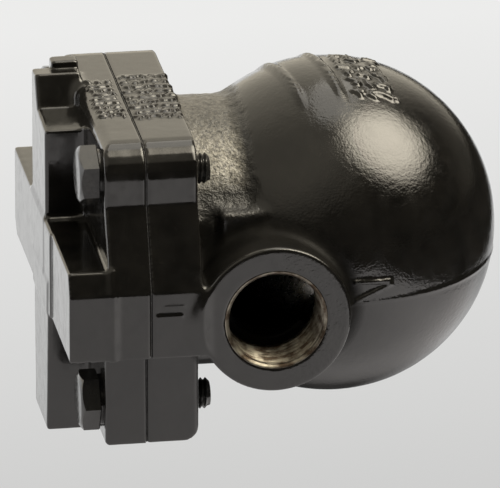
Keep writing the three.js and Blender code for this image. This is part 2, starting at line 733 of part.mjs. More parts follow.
function ventSeat() {
  const hexBack = VENT_CLIP_BACK_X + VENT_CLIP_PLATE + GAP;
  const hexFront = hexBack + VENT_SEAT_HEX;
  return cut(
    joined(
      hexX(VENT_SEAT_FLATS, hexBack, hexFront, VENT_Y, VENT_Z),
      cylinderX(VENT_SEAT_LIP_RADIUS, hexFront - LAP, VENT_FACE_X, VENT_Y, VENT_Z, SMALL_ROUND),
      cylinderX(VENT_SEAT_SHANK_RADIUS, VENT_SEAT_END_X, hexBack + LAP, VENT_Y, VENT_Z, SMALL_ROUND),
    ),
    cylinderX(VENT_SEAT_BORE_RADIUS, VENT_SEAT_END_X - OVER, hexBack, VENT_Y, VENT_Z, SMALL_ROUND),
    cylinderX(VENT_ORIFICE_RADIUS, hexBack - OVER, VENT_FACE_X + OVER, VENT_Y, VENT_Z, SMALL_ROUND),
  );
}

function ventClip() {
  const back = VENT_CLIP_BACK_X;
  const front = CAPSULE_BACK_X + GAP;
  const inner = VENT_CLIP_HALF - VENT_CLIP_PLATE;
  const hole = VENT_SEAT_SHANK_RADIUS + RUNNING_GAP;
  const low = VENT_Z - VENT_CLIP_HALF_HEIGHT;
  const high = VENT_Z + VENT_CLIP_HALF_HEIGHT;
  return cut(
    box(back, front + VENT_CLIP_PLATE, VENT_Y - VENT_CLIP_HALF, VENT_Y + VENT_CLIP_HALF, low, high),
    box(back + VENT_CLIP_PLATE, front, VENT_Y - inner, VENT_Y + inner, low - OVER, high + OVER),
    cylinderX(hole, back - OVER, back + VENT_CLIP_PLATE + OVER, VENT_Y, VENT_Z, SMALL_ROUND),
  );
}

// Two dished discs, welded at a flat rim.
function ventCapsule() {
  const rim = (CAPSULE_FRONT_X + CAPSULE_BACK_X) / 2;
  return turnedX([
    [CAPSULE_FRONT_X, 0],
    [CAPSULE_FRONT_X, CAPSULE_BOSS_RADIUS],
    [rim - CAPSULE_DISH, CAPSULE_DISH_RADIUS],
    [rim - CAPSULE_SHOULDER, CAPSULE_SHOULDER_RADIUS],
    [rim - CAPSULE_RIM, CAPSULE_RADIUS],
    [rim + CAPSULE_RIM, CAPSULE_RADIUS],
    [rim + CAPSULE_SHOULDER, CAPSULE_SHOULDER_RADIUS],
    [rim + CAPSULE_DISH, CAPSULE_DISH_RADIUS],
    [CAPSULE_BACK_X, CAPSULE_BOSS_RADIUS],
    [CAPSULE_BACK_X, 0],
  ], VENT_Y, VENT_Z, FLOAT_SIDES);
}

function ventValve() {
  const front = VENT_FACE_X + VENT_VALVE_LIFT;
  const back = front + VENT_VALVE_THICKNESS;
  return turnedX([
    [front, 0],
    [front, VENT_VALVE_RADIUS],
    [back, VENT_VALVE_RADIUS],
    [back, VENT_STEM_RADIUS],
    [CAPSULE_FRONT_X - GAP, VENT_STEM_RADIUS],
    [CAPSULE_FRONT_X - GAP, 0],
  ], VENT_Y, VENT_Z, SMALL_ROUND);
}

// --- Materials and assembly. ---

function finish(name, color, roughness, metalness) {
  return new THREE.MeshStandardMaterial({ name, color, roughness, metalness });
}

const trap = new THREE.Group();

function piece(name, manifold, material) {
  const mesh = new THREE.Mesh(geometryOf(manifold), material);
  mesh.name = name;
  trap.add(mesh);
}

const paintedIron = () => finish('painted_ductile_iron', 0x22211f, 0.3, 0.4);
const blackSteel = () => finish('black_bolt_steel', 0x2b2a28, 0.35, 0.6);
const stainless = () => finish('stainless_steel', 0xa9a8a2, 0.3, 0.9);
const graphite = () => finish('graphite_gasket', 0x38383a, 0.8, 0.1);

piece('body', body(), paintedIron());
piece('cover', cover(), paintedIron());
piece('cover_gasket', coverGasket(), graphite());
boltPlaces().forEach(([y, z], i) => {
  piece(`cover_bolt_${i + 1}`, coverBolt(y, z, i === 2 ? Math.PI / 6 : 0), blackSteel());
});

piece('valve_seat', valveSeat(), stainless());
piece('valve_seat_gasket', ringX(
  SEAT_SHANK_RADIUS + RUNNING_GAP, SEAT_GASKET_RADIUS,
  COVER_FACE_X + GAP, SEAT_HEX_BACK_X - GAP, 0, SEAT_Z,
), graphite());
piece('pivot_frame', pivotFrame(), stainless());
[-FRAME_SCREW_Y, FRAME_SCREW_Y].forEach((y, i) => {
  piece(`frame_screw_${i + 1}`, frameScrew(y), stainless());
  piece(`frame_washer_${i + 1}`, frameWasher(y), stainless());
});
piece('pivot_pin', pivotPin(), stainless());
piece('pin_clip_1', pinClipY(-1), stainless());
piece('pin_clip_2', pinClipY(1), stainless());

piece('float_arm', floatArm(), stainless());
piece('float_arm_half', floatArmHalf(), stainless());
piece('float_far_half', floatFarHalf(), stainless());
piece('float_screw', floatScrew(), stainless());
piece('float_washer', floatWasher(), stainless());
piece('valve_head', valveHead(), stainless());
piece('valve_head_clip', valveHeadClip(), stainless());

piece('vent_seat', ventSeat(), stainless());
piece('vent_seat_gasket', ringX(
  VENT_SEAT_SHANK_RADIUS + RUNNING_GAP, VENT_GASKET_RADIUS,
  COVER_FACE_X + GAP, VENT_CLIP_BACK_X - GAP, VENT_Y, VENT_Z,
), graphite());
piece('vent_clip', ventClip(), stainless());
piece('vent_capsule', ventCapsule(), stainless());
piece('vent_valve', ventValve(), stainless());

export default trap;
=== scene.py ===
"""A ball float steam trap in black-painted cast iron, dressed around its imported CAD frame.

Shapes are worked out in millimetres in the part's own frame: +Y runs along the pipe from inlet to
outlet, +X from the bolted cover to the float chamber. The castings are signed distance fields, joined
with fillets, roughened like sand castings and turned into meshes. Turned pieces are revolved profiles.
"""
import math

import bmesh
import bpy
import numpy as np
import openvdb
from mathutils import Matrix, Vector


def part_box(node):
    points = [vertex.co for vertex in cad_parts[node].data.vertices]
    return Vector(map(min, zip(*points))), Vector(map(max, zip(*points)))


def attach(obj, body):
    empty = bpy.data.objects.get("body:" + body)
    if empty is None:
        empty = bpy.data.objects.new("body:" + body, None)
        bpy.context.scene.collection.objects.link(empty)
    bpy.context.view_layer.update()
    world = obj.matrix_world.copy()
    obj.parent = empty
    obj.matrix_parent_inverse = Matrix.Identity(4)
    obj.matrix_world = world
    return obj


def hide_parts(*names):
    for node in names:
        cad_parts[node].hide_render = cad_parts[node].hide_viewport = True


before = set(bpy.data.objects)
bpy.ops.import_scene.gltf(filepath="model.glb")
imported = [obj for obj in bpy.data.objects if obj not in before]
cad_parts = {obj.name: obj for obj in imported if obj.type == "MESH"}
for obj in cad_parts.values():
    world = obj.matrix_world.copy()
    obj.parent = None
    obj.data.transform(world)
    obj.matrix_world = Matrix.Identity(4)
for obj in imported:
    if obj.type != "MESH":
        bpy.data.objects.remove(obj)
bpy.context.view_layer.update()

MM = 0.001
# The spacing of the distance fields, and the rounding of an edge that is nearly sharp.
FIELD_STEP = 0.55
NEAR_SHARP = 0.1


def box_mm(node):
    """The lowest and highest corners of a CAD node, in millimetres."""
    low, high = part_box(node)
    return [c / MM for c in low], [c / MM for c in high]


BODY_LOW, BODY_HIGH = box_mm("body")
COVER_LOW, COVER_HIGH = box_mm("cover")

# Chamber and neck.
BALL_RADIUS = 53.5
BALL_X = BODY_HIGH[0] - BALL_RADIUS
CHAMBER_Z = BODY_HIGH[2] - BALL_RADIUS
BALL_WALL = 5
NECK_RADIUS = 43
NECK_WALL = 5

# Ports.
PORT_Y = BODY_HIGH[1]
PORT_RADIUS = 24
SLEEVE_RADIUS = 16.3
BORE_RADIUS = 14.9
BORE_END_Y = 43.5
PARTITION_RADIUS = 19.2
PARTITION_START_Y = 39.5
INLET_PASSAGE_RADIUS = 12
INLET_PASSAGE_Y = (-BORE_END_Y - 1, -BORE_END_Y + 20)
THREAD_PITCH = 2.309
THREAD_DEPTH = 1.1

# Flange shared by body and cover.
BODY_FACE_X = BODY_LOW[0]
FLANGE_BACK_X = -23
FLANGE_Z = 6
FLANGE_HALF = 49.5
FLANGE_TOP_CORNER = 10
EAR_HALF = 60
EAR_HALF_HEIGHT = 11
EAR_SLOPE_TOP = 36.5
CAST_EDGE = 1.1
JOINT_LAP = 0.3
SHOULDER_Y = 43
SHOULDER_TOP_Z = 30
SHOULDER_X = (-15, 0)
HEEL_ROUND = 5
DUCT_BOSS_RADIUS = 9

# Cover and its raised arms.
COVER_FACE_X = COVER_HIGH[0]
COVER_OUTER_X = -52.8
ARM_X = COVER_LOW[0]
ARM_STEP = 0.6
CROSS_ARM_TOP = 18
HUB_NEAR_Y = -20.5
UPPER_ARM_Y = (-7, 23)
UPPER_ARM_TOP_Z = 58.5
UPPER_ARM_LEDGE_Z = 48
UPPER_PAD_X = -59.5
UPPER_PAD_Y = (21, 27)
UPPER_PAD_Z = (40, 60.5)
COVER_TOP_ROUND = 4
LOWER_ARM_Y = (-12, 14)
LOWER_ARM_BOTTOM_Z = COVER_LOW[2]
ARM_EDGE = 0.9

# Condensate passages inside the castings.
DUCT_Y = 51
DUCT_X = -57
DUCT_RADIUS = 6
SEAT_Z = 2
SEAT_BORE_RADIUS = 6.3
VENT_Y = 7
VENT_Z = 34
VENT_DUCT_RADIUS = 4
VENT_BORE_RADIUS = 5.3

# Cover bolts, M10.
BOLT_PITCH_HALF = 38
BOLT_RADIUS = 5
BOLT_FLATS = 17
BOLT_HEAD_HEIGHT = 6.4
BOLT_COLLAR_HEIGHT = 0.8
BOLT_COLLAR_RADIUS = 8.0
BOLT_PITCH = 1.5
BOLT_THREAD_DEPTH = 0.8
BOLT_THREAD_START = 20
BOLT_END_TAPER = 1.0
BOLT_TURNS = (0, 12, 30, 7)
BODY_HOLE_RADIUS = BOLT_RADIUS + 0.3
COVER_HOLE_RADIUS = BOLT_RADIUS + 0.5

# Cover gasket.
GASKET_INSET = 0.15

# Float: two shells with a weld bead between them, and a stub for the arm's screw.
FLOAT_WALL = 1.2
FLOAT_LAP = 0.15
WELD_START = 0.05
WELD_RIPPLES = 70
STUB_RADIUS = 4.5
STUB_HOLE_RADIUS = 2.3

# Broken edges on the pieces that keep their CAD mesh.
INNER_EDGE = 0.12

# Cast marks: two straps and a patch on the ball, patches on the flange tops, a wedge by the port.
BALL_SLANT = 0.17
STRAP_X = 17.5
STRAP_HALF_GAP = 6.6
STRAP_ENDS_Y = (13, 24)
PATCH_X = 35
PATCH_Y = -4
STRAP_HEIGHT = 0.35
STRAP_RAIL_HEIGHT = 0.8
EAR_MARK_X = (-33.8, -32.2)
EAR_MARK_HEIGHTS = (0.22, 0.09)
FLANGE_MARK_HEIGHT = 0.75
BALL_MARK_HEIGHT = 0.9
WEDGE_X = 32
WEDGE_HEIGHT = 0.75
SEAM_Z = 1.2
SEAM_HEIGHT = 0.25

# Each patch of marks as the places of its rows, their width, the size of one mark and a seed.
BODY_TOP_MARKS = (np.arange(-17, 22, 4.6), 16.5, 3.3, 71)
COVER_TOP_MARKS = (np.arange(-15, 19, 3.8), 10, 2.9, 81)
BALL_MARKS = ((-5.2, 0.2, 5.6), 33, 5.2, 78)

# Casting skin: how high and how wide its long ripples, its grains and its fine grains are.
RIPPLES = (0.05, 11.0)
GRAINS = (0.22, 2.6)
FINE_GRAINS = (0.12, 1.5)
SKIN_BAND = 2.2 * FIELD_STEP

# Where the paint changes along the body, and where the painted highlight lies on the upper neck.
NECK_START_X = (-23.5, -21.5)
NECK_END_X = (-4, -1)
NECK_ROUGH_Z = (24, 30)
# Where the painted highlight on the upper neck ends along X, and where it starts and fades going up.
HIGHLIGHT_END_X = (-8, -4)
HIGHLIGHT_BOTTOM_Z = (34, 40)
HIGHLIGHT_TOP_Z = (44, 50)
BOSS_FADE = (2, 6)
BALL_START_X = (-2, 3)


# --- Signed distance fields. ---

class Field:
    """A grid of points, in millimetres, that distances are worked out on."""

    def __init__(self, low, high, margin=3.0):
        self.low = np.array(low, dtype=np.float32) - margin
        counts = np.ceil((np.array(high) + margin - self.low) / FIELD_STEP).astype(int) + 1
        lines = [self.low[i] + FIELD_STEP * np.arange(counts[i], dtype=np.float32) for i in range(3)]
        self.x = lines[0][:, None, None]
        self.y = lines[1][None, :, None]
        self.z = lines[2][None, None, :]


def rounded(a, b):
    """The distance to the corner where two half-spaces meet."""
    outside = np.sqrt(np.maximum(a, 0) ** 2 + np.maximum(b, 0) ** 2)
    return np.minimum(np.maximum(a, b), 0) + outside


def span(w, low, high):
    """The distance outside the slab between two places along w."""
    return np.abs(w - (low + high) / 2) - (high - low) / 2


def ball(f, x, y, z, radius):
    return np.sqrt((f.x - x) ** 2 + (f.y - y) ** 2 + (f.z - z) ** 2) - radius


def rod(u, v, w, radius, low, high, edge=0.6):
    """A round bar along w, about the line where u and v are 0."""
    across = np.sqrt(u ** 2 + v ** 2) - radius + edge
    return rounded(across, span(w, low, high) + edge) - edge


def block(f, x, y, z, edge=0.6):
    """A box from three (low, high) pairs, with rounded edges."""
    flat = rounded(span(f.x, *x) + edge, span(f.y, *y) + edge)
    return rounded(flat, span(f.z, *z) + edge) - edge


def outline_distance(points, u, v):
    """Signed distance from (u, v) to a closed outline."""
    best = np.full(np.broadcast(u, v).shape, 1e9, dtype=np.float32)
    inside = np.zeros(best.shape, dtype=bool)
    for (u0, v0), (u1, v1) in zip(points, points[1:] + points[:1]):
        du, dv = u1 - u0, v1 - v0
        along = ((u - u0) * du + (v - v0) * dv) / max(du * du + dv * dv, 1e-9)
        along = np.clip(along, 0, 1)
        best = np.minimum(best, (u - u0 - along * du) ** 2 + (v - v0 - along * dv) ** 2)
        if v0 != v1:
            crossing = (v0 > v) != (v1 > v)
            inside ^= crossing & (u < u0 + du * (v - v0) / dv)
    distance = np.sqrt(best)
    return np.where(inside, -distance, distance)


def plate(f, points, low, high, edge=CAST_EDGE):
    """An outline in Y and Z, made into a plate between two X planes."""
    return rounded(outline_distance(points, f.y, f.z) + edge, span(f.x, low, high) + edge) - edge


def join(a, b, fillet=0.0):
    """Two solids as one, with a fillet where they meet."""
    if not fillet:
        return np.minimum(a, b)
    near = np.maximum(fillet - np.abs(a - b), 0) / fillet
    return np.minimum(a, b) - near * near * fillet / 4


def cut(a, b, fillet=0.0):
    """The first solid without the second."""
    return -join(-a, b, fillet)


def value_noise(points, wavelength, seed):
    """Smooth noise from -1 to 1 at each of the points."""
    lattice = np.random.default_rng(seed).uniform(-1, 1, (32, 32, 32)).astype(np.float32)
    scaled = points / wavelength
    cell = np.floor(scaled).astype(int)
    part = scaled - cell
    part = part * part * (3 - 2 * part)
    total = np.zeros(len(points), dtype=np.float32)
    for corner in np.ndindex(2, 2, 2):
        weight = np.prod(np.where(corner, part, 1 - part), axis=1)
        total += weight * lattice[tuple((cell + corner).T % 32)]
    return total


def near_surface(f, distance, band):
    """The indices of the grid points within band of the surface, and where they are."""
    index = np.nonzero(np.abs(distance) < band)
    places = np.stack([f.low[i] + FIELD_STEP * index[i] for i in range(3)], axis=1)
    return index, places


def smooth_step(value, low, high):
    t = np.clip((value - low) / (high - low), 0, 1)
    return t * t * (3 - 2 * t)


def mesh_object(name, points, faces):
    """A smooth-shaded object from points in millimetres and faces as index rows."""
    mesh = bpy.data.meshes.new(name)
    mesh.vertices.add(len(points))
    mesh.vertices.foreach_set("co", (np.asarray(points, dtype=np.float32) * MM).ravel())
    sides = faces.shape[1]
    mesh.loops.add(faces.size)
    mesh.loops.foreach_set("vertex_index", faces.astype(np.int32).ravel())
    mesh.polygons.add(len(faces))
    mesh.polygons.foreach_set("loop_start", np.arange(0, faces.size, sides, dtype=np.int32))
    mesh.update(calc_edges=True)
    mesh.validate()
    mesh.polygons.foreach_set("use_smooth", np.ones(len(mesh.polygons), dtype=bool))
    obj = bpy.data.objects.new(name, mesh)
    bpy.context.scene.collection.objects.link(obj)
    return obj


def mesh_of_field(name, f, distance):
    """The zero surface of a field as a closed mesh."""
    reach = 3 * FIELD_STEP
    grid = openvdb.FloatGrid(reach)
    grid.copyFromArray(np.ascontiguousarray(np.clip(distance, -reach, reach), dtype=np.float32))
    points, quads = grid.convertToQuads(isovalue=0.0)
    points = points * FIELD_STEP + f.low
    corners = points[quads]
    across = np.cross(corners[:, 2] - corners[:, 0], corners[:, 3] - corners[:, 1])
    if np.einsum("ij,ij->", across, corners.mean(axis=1)) < 0:
        quads = quads[:, ::-1]
    return mesh_object(name, points, quads)


# --- Turned pieces. ---

def revolve(name, profile, place, sides=96, wave=None):
    """A solid of revolution from a loop of (along, radius) points, moved by the matrix place.

    wave(along, radius, angle) gives a changed radius, such as a thread's or a hexagon's.
    """
    profile = np.array(profile, dtype=float)
    angle = np.linspace(0, 2 * math.pi, sides, endpoint=False)
    along = np.repeat(profile[None, :, 0], sides, axis=0)
    radius = np.repeat(profile[None, :, 1], sides, axis=0)
    turn = np.repeat(angle[:, None], len(profile), axis=1)
    if wave:
        along, radius = wave(along, radius, turn)
    points = np.stack([radius * np.cos(turn), radius * np.sin(turn), along], axis=2).reshape(-1, 3)
    count = len(profile)
    i, j = np.meshgrid(np.arange(sides), np.arange(count), indexing="ij")
    right, up = (i + 1) % sides, (j + 1) % count
    faces = np.stack([i * count + j, right * count + j, right * count + up, i * count + up], axis=2)
    obj = mesh_object(name, points, faces.reshape(-1, 4))
    shape = bmesh.new()
    shape.from_mesh(obj.data)
    bmesh.ops.remove_doubles(shape, verts=shape.verts, dist=1e-7)
    bmesh.ops.dissolve_degenerate(shape, edges=shape.edges, dist=1e-8)
    bmesh.ops.recalc_face_normals(shape, faces=shape.faces)
    shape.to_mesh(obj.data)
    shape.free()
    obj.data.transform(place)
    obj.data.polygons.foreach_set("use_smooth", np.ones(len(obj.data.polygons), dtype=bool))
    return obj


def along_axis(axis, at):
    """A matrix that turns a revolved piece's +Z to the given direction and moves it to a place in mm."""
    turn = Vector((0, 0, 1)).rotation_difference(Vector(axis)).to_matrix().to_4x4()
    return Matrix.Translation(Vector(at) * MM) @ turn


def sharpen(obj, degrees=35):
    """Keeps the edges sharper than an angle crisp under smooth shading."""
    shape = bmesh.new()
    shape.from_mesh(obj.data)
    for edge in shape.edges:
        if len(edge.link_faces) == 2 and edge.calc_face_angle(0) > math.radians(degrees):
            edge.smooth = False
    shape.to_mesh(obj.data)
    shape.free()


def triangle_wave(phase):
    """0 at a thread's root and 1 at its crest, for a phase that grows by 1 each pitch."""
    return 1 - np.abs(2 * (phase - np.floor(phase)) - 1)


# --- Materials. ---

# Linear colours. A pair is the two that a finish varies between.
ENAMEL = ((0.0040, 0.0038, 0.0034), (0.0075, 0.0070, 0.0062))
DUSTY_ENAMEL = (0.030, 0.028, 0.024)
# The light grey of the painted highlight on the upper neck.
NECK_HIGHLIGHT_COLOUR = (0.30, 0.285, 0.245)
WORN_PAINT = (0.12, 0.11, 0.095)
RUSTY_IRON = ((0.24, 0.22, 0.18), (0.06, 0.042, 0.028))
BOLT_BLACK = ((0.008, 0.0078, 0.0074), (0.016, 0.0155, 0.0145))
WORN_BOLT = (0.06, 0.055, 0.048)
STAINLESS = ((0.50, 0.49, 0.46), (0.60, 0.59, 0.57))
GRAPHITE = ((0.018, 0.018, 0.019), (0.075, 0.075, 0.078))


class Nodes:
    """A material's node tree, built a line at a time."""

    def __init__(self, name):
        self.material = bpy.data.materials.new(name)
        self.material.use_nodes = True
        self.tree = self.material.node_tree
        self.shader = self.tree.nodes["Principled BSDF"]
        self.place = self.add("ShaderNodeTexCoord").outputs["Object"]

    def add(self, kind, **settings):
        node = self.tree.nodes.new(kind)
        for key, value in settings.items():
            setattr(node, key, value)
        return node

    def link(self, source, target):
        self.tree.links.new(source, target)

    def noise(self, size_mm, detail=2.0, roughness=0.5, seed=0.0):
        """A noise texture whose features are about size_mm across."""
        node = self.add("ShaderNodeTexNoise")
        shift = self.add("ShaderNodeMapping")
        shift.inputs["Location"].default_value = (seed, seed * 0.7, seed * 1.3)
        self.link(self.place, shift.inputs["Vector"])
        self.link(shift.outputs["Vector"], node.inputs["Vector"])
        node.inputs["Scale"].default_value = 1 / (size_mm * MM)
        node.inputs["Detail"].default_value = detail
        node.inputs["Roughness"].default_value = roughness
        return node.outputs["Fac"]

    def ramp(self, source, low, high, stops=(0.35, 0.65)):
        """Maps a value from one number to another between two stops."""
        node = self.add("ShaderNodeMapRange")
        node.inputs["From Min"].default_value = stops[0]
        node.inputs["From Max"].default_value = stops[1]
        node.inputs["To Min"].default_value = low
        node.inputs["To Max"].default_value = high
        self.link(source, node.inputs["Value"])
        return node.outputs["Result"]

    def mix(self, factor, first, second):
        """A colour between two, each a colour or an output."""
        node = self.add("ShaderNodeMix", data_type="RGBA")
        self.link(factor, node.inputs["Factor"])
        for value, socket in ((first, node.inputs[6]), (second, node.inputs[7])):
            if hasattr(value, "links"):
                self.link(value, socket)
            else:
                socket.default_value = (*value, 1)
        return node.outputs[2]

    def math(self, operation, first, second):
        node = self.add("ShaderNodeMath", operation=operation)
        for value, socket in ((first, node.inputs[0]), (second, node.inputs[1])):
            if hasattr(value, "links"):
                self.link(value, socket)
            else:
                socket.default_value = value
        return node.outputs[0]

    def times(self, first, second):
        return self.math("MULTIPLY", first, second)

    def plus(self, first, second):
        return self.math("ADD", first, second)

    def bump(self, height, distance_mm, strength=1.0, under=None):
        node = self.add("ShaderNodeBump")
        if hasattr(strength, "links"):
            self.link(strength, node.inputs["Strength"])
        else:
            node.inputs["Strength"].default_value = strength
        node.inputs["Distance"].default_value = distance_mm * MM
        self.link(height, node.inputs["Height"])
        if under is not None:
            self.link(under, node.inputs["Normal"])
        return node.outputs["Normal"]

    def rise(self, axis, low_mm, high_mm, start=0.0, end=1.0):
        """Goes from start to end between two places along an axis."""
        parts = self.add("ShaderNodeSeparateXYZ")
        self.link(self.place, parts.inputs[0])
        return self.ramp(parts.outputs[axis], start, end, (low_mm * MM, high_mm * MM))

    def edges(self, low, high):
        """1 on outward edges, from the surface's own curvature."""
        geometry = self.add("ShaderNodeNewGeometry")
        return self.ramp(geometry.outputs["Pointiness"], 0.0, 1.0, (low, high))


def rough_neck_mask(n):
    """1 on the upper side of the neck, where the casting is roughest."""
    neck = n.times(n.rise("X", *NECK_START_X), n.rise("X", *NECK_END_X, 1.0, 0.0))
    return n.times(neck, n.rise("Z", *NECK_ROUGH_Z))


def neck_highlight_mask(n):
    """Painted highlight: light speckles on the upper neck, standing in for the key light's glints on the
    rough cast skin.
    """
    speckle = n.ramp(n.noise(1.1, detail=3, roughness=0.6, seed=15), 0.15, 1.0, (0.36, 0.62))
    painted_highlight = n.times(n.rise("X", *NECK_START_X), speckle)
    painted_highlight = n.times(painted_highlight, n.rise("X", *HIGHLIGHT_END_X, 1.0, 0.0))
    painted_highlight = n.times(painted_highlight, n.rise("Z", *HIGHLIGHT_BOTTOM_Z))
    return n.times(painted_highlight, n.rise("Z", *HIGHLIGHT_TOP_Z, 1.0, 0.25))


def boss_mask(n):
    """1 on the sides of the port bosses and 0 on their end faces."""
    parts = n.add("ShaderNodeSeparateXYZ")
    n.link(n.place, parts.inputs[0])
    x, y, z = (parts.outputs[axis] for axis in "XYZ")
    from_axis = n.math("POWER", n.plus(n.times(x, x), n.times(z, z)), 0.5)
    near, far = (PORT_RADIUS + fade for fade in BOSS_FADE)
    boss = n.ramp(from_axis, 1.0, 0.0, (near * MM, far * MM))
    from_middle = n.math("ABSOLUTE", y, 0)
    return n.times(boss, n.ramp(from_middle, 1.0, 0.0, ((PORT_Y - 2) * MM, (PORT_Y - 0.8) * MM)))


def cast_paint():
    """Glossy black enamel over a sand casting: orange peel, dust, thin wear on the edges and a painted
    highlight on the upper neck.
    """
    n = Nodes("black_enamel_on_cast_iron")
    neck, boss = rough_neck_mask(n), boss_mask(n)
    mottle = n.noise(9, detail=4, seed=1)
    enamel = n.mix(n.ramp(mottle, 0, 1), *ENAMEL)
    dust = n.ramp(n.noise(1.3, detail=3, seed=5), 0, 0.25, (0.62, 0.80))
    dusty = n.mix(dust, enamel, DUSTY_ENAMEL)
    # A painted highlight in light grey on the upper neck, over the dusty enamel.
    with_painted_highlight = n.mix(neck_highlight_mask(n), dusty, NECK_HIGHLIGHT_COLOUR)
    wear = n.times(n.edges(0.56, 0.64), n.ramp(n.noise(2.5, detail=3, seed=9), 0, 0.4, (0.45, 0.7)))
    n.link(n.mix(wear, with_painted_highlight, WORN_PAINT), n.shader.inputs["Base Color"])
    gloss = n.ramp(n.noise(4, detail=3, seed=3), 0.09, 0.19)
    matt = n.plus(n.times(neck, 0.24), n.times(boss, 0.35))
    n.link(n.plus(gloss, matt), n.shader.inputs["Roughness"])
    n.link(n.plus(1.58, n.times(boss, -0.4)), n.shader.inputs["IOR"])
    on_ball = n.rise("X", *BALL_START_X, 0.12, 1.0)
    peel = n.bump(n.noise(1.5, detail=2, seed=2), 0.06, strength=on_ball)
    fine = n.bump(n.noise(0.7, detail=2, seed=4), 0.05, strength=on_ball, under=peel)
    grains = n.bump(n.noise(1.0, detail=3, roughness=0.6, seed=14), 0.42, strength=neck, under=fine)
    n.link(grains, n.shader.inputs["Normal"])
    return n.material


def machined_iron():
    """Bright-turned cast iron, going brown where condensate has stood in the thread."""
    n = Nodes("turned_iron")
    rust = n.ramp(n.noise(3.5, detail=5, seed=7), 0, 1, (0.42, 0.62))
    n.link(n.mix(rust, *RUSTY_IRON), n.shader.inputs["Base Color"])
    n.link(n.ramp(n.noise(1.0, detail=3, seed=8), 0.3, 0.5), n.shader.inputs["Roughness"])
    n.shader.inputs["Metallic"].default_value = 0.8
    n.link(n.bump(n.noise(0.4, detail=2, seed=6), 0.03), n.shader.inputs["Normal"])
    return n.material


def bolt_paint():
    """Black-coated bolt steel with rubbed corners."""
    n = Nodes("black_bolt_steel")
    mottle = n.ramp(n.noise(3, detail=4, seed=11), 0, 1)
    shade = n.mix(mottle, *BOLT_BLACK)
    wear = n.edges(0.64, 0.80)
    n.link(n.mix(wear, shade, WORN_BOLT), n.shader.inputs["Base Color"])
    n.link(n.ramp(n.noise(1.4, detail=3, seed=12), 0.14, 0.24), n.shader.inputs["Roughness"])
    n.shader.inputs["IOR"].default_value = 1.5
    n.link(n.bump(n.noise(1.5, detail=1, seed=13), 0.006), n.shader.inputs["Normal"])
    return n.material


def stainless():
    """Satin stainless steel with faint heat and handling marks."""
    n = Nodes("satin_stainless_steel")
    tone = n.mix(n.ramp(n.noise(6, detail=4, seed=21), 0, 1), *STAINLESS)
    n.link(tone, n.shader.inputs["Base Color"])
    n.link(n.ramp(n.noise(1.2, detail=4, seed=22), 0.22, 0.38), n.shader.inputs["Roughness"])
    n.shader.inputs["Metallic"].default_value = 1.0
    n.link(n.bump(n.noise(0.35, detail=2, seed=23), 0.015), n.shader.inputs["Normal"])
    return n.material


def graphite():
    """Pressed graphite sheet: dull, flecked and slightly uneven."""
    n = Nodes("pressed_graphite")
    fleck = n.ramp(n.noise(0.5, detail=4, seed=31), 0, 1, (0.5, 0.75))
    n.link(n.mix(fleck, *GRAPHITE), n.shader.inputs["Base Color"])
    n.link(n.ramp(n.noise(2, detail=3, seed=32), 0.45, 0.7), n.shader.inputs["Roughness"])
    n.link(n.bump(n.noise(0.6, detail=3, seed=33), 0.05), n.shader.inputs["Normal"])
    return n.material


def wears(obj, material, slot, body, *nodes):
    """Gives a piece its material, and says what it rides on and stands for. The record slot is not used.
    """
    obj.data.materials.clear()
    obj.data.materials.append(material)
    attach(obj, body)
    if nodes:
        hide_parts(*nodes)


# --- The flange outline, used by body, cover and gasket. ---

def arc(centre, radius, start, end, steps=6):
    angles = [math.radians(start + (end - start) * i / steps) for i in range(steps + 1)]
    return [(centre[0] + radius * math.cos(a), centre[1] + radius * math.sin(a)) for a in angles]


def flange_outline(inset=0.0):
    side = FLANGE_HALF - inset
    ear = EAR_HALF - inset
    bottom, top = FLANGE_Z - side, FLANGE_Z + side
    low_ear = inset - EAR_HALF_HEIGHT
    corner = FLANGE_TOP_CORNER
    right = [(side, bottom), (side, low_ear), (ear, low_ear)]
    right += [(ear, EAR_HALF_HEIGHT), (side, EAR_SLOPE_TOP)]
    right += arc((side - corner, top - corner), corner, 0, 90)
    return right + [(-y, z) for y, z in reversed(right)]


def bolt_places():
    half = BOLT_PITCH_HALF
    return [(side * half, FLANGE_Z + up * half) for up in (1, -1) for side in (-1, 1)]


def bolt_holes(f, distance, radius, low, high):
    for y, z in bolt_places():
        distance = cut(distance, rod(f.y - y, f.z - z, f.x, radius, low, high, NEAR_SHARP))
    return distance


# --- Cast surface detail. ---

def bar(u, v, u_at, v_at, length, width, turn):
    """Distance to a raised bar at a place, turned from the u direction by an angle in degrees."""
    c, d = math.cos(math.radians(turn)), math.sin(math.radians(turn))
    along = (u - u_at) * c + (v - v_at) * d
    across = (v - v_at) * c - (u - u_at) * d
    return rounded(np.abs(along) - length / 2, np.abs(across) - width / 2)


def raised(distance):
    """How high a mark stands, from 0 to 1, from the distance to its outline."""
    return 1 - smooth_step(distance, -0.1, 0.55)


def tally_rows(u, v, rows, width, cell, seed):
    """A plain raised pattern: rows of short bars, each standing, lying or leaning."""
    choose = np.random.default_rng(seed)
    best = np.full(u.shape, 1e9, dtype=np.float32)
    for row in rows:
        for place in np.arange(-width / 2 + cell / 2, width / 2, cell):
            for turn in choose.choice((0, 0, 90, 90, 60, 120), 3):
                shift_u, shift_v = choose.uniform(-0.26, 0.26, 2) * cell
                length = cell * choose.uniform(0.45, 0.9)
                mark = bar(u, v, place + shift_u, row + shift_v, length, cell * 0.18, turn)
                best = np.minimum(best, mark)
    return raised(best)


